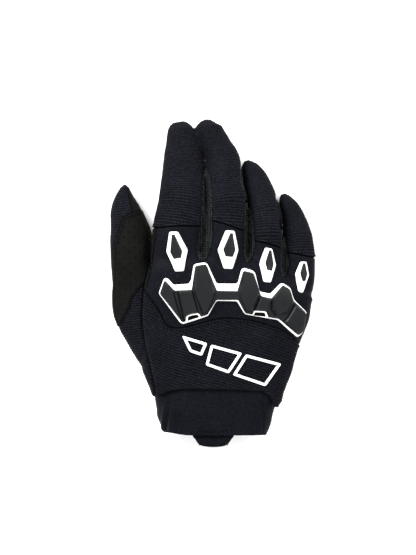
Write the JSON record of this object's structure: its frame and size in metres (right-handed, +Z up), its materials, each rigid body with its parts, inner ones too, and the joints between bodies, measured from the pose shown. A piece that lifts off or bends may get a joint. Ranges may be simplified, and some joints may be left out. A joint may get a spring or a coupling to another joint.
{
  "type": "motocross glove",
  "caption": "Black motocross glove with moulded knuckle armour, hexagonal finger guards, a slip-on cuff and a pull tab, lying palm down.",
  "frame": {"origin": "middle of the glove's underside on the surface that it lies on", "axes": "+Z up out of the back of the hand, +Y towards the fingertips, the thumb at -X"},
  "size_m": [0.1332, 0.2132, 0.0471],
  "materials": {
    "ribbed_knit": "matt ribbed stretch knit",
    "smooth_stretch": "matt smooth stretch cloth",
    "suede": "matt synthetic suede",
    "strip_mesh": "matt mesh cloth",
    "black_rubber": "satin moulded rubber",
    "white_rubber": "satin moulded rubber"
  },
  "bodies": {
    "root": {"back_panel": "ribbed_knit", "thumb_back": "ribbed_knit", "pull_tab": "ribbed_knit", "knuckle_panel": "smooth_stretch", "cuff": "smooth_stretch", "palm": "suede", "thumb_front": "suede", "thumb_patch": "suede", "knuckle_guard": "black_rubber", "knuckle_guard_edge": "white_rubber", "finger_back_index": "ribbed_knit", "finger_front_index": "suede", "finger_guard_index": "white_rubber", "finger_guard_insert_index": "black_rubber", "finger_back_middle": "ribbed_knit", "finger_front_middle": "suede", "finger_guard_middle": "white_rubber", "finger_guard_insert_middle": "black_rubber", "finger_back_ring": "ribbed_knit", "finger_front_ring": "suede", "finger_guard_ring": "white_rubber", "finger_guard_insert_ring": "black_rubber", "finger_back_little": "ribbed_knit", "finger_front_little": "suede", "finger_guard_little": "white_rubber", "finger_guard_insert_little": "black_rubber", "finger_strip_index_middle": "strip_mesh", "finger_strip_middle_ring": "strip_mesh", "finger_strip_ring_little": "strip_mesh"}
  },
  "joints": []
}
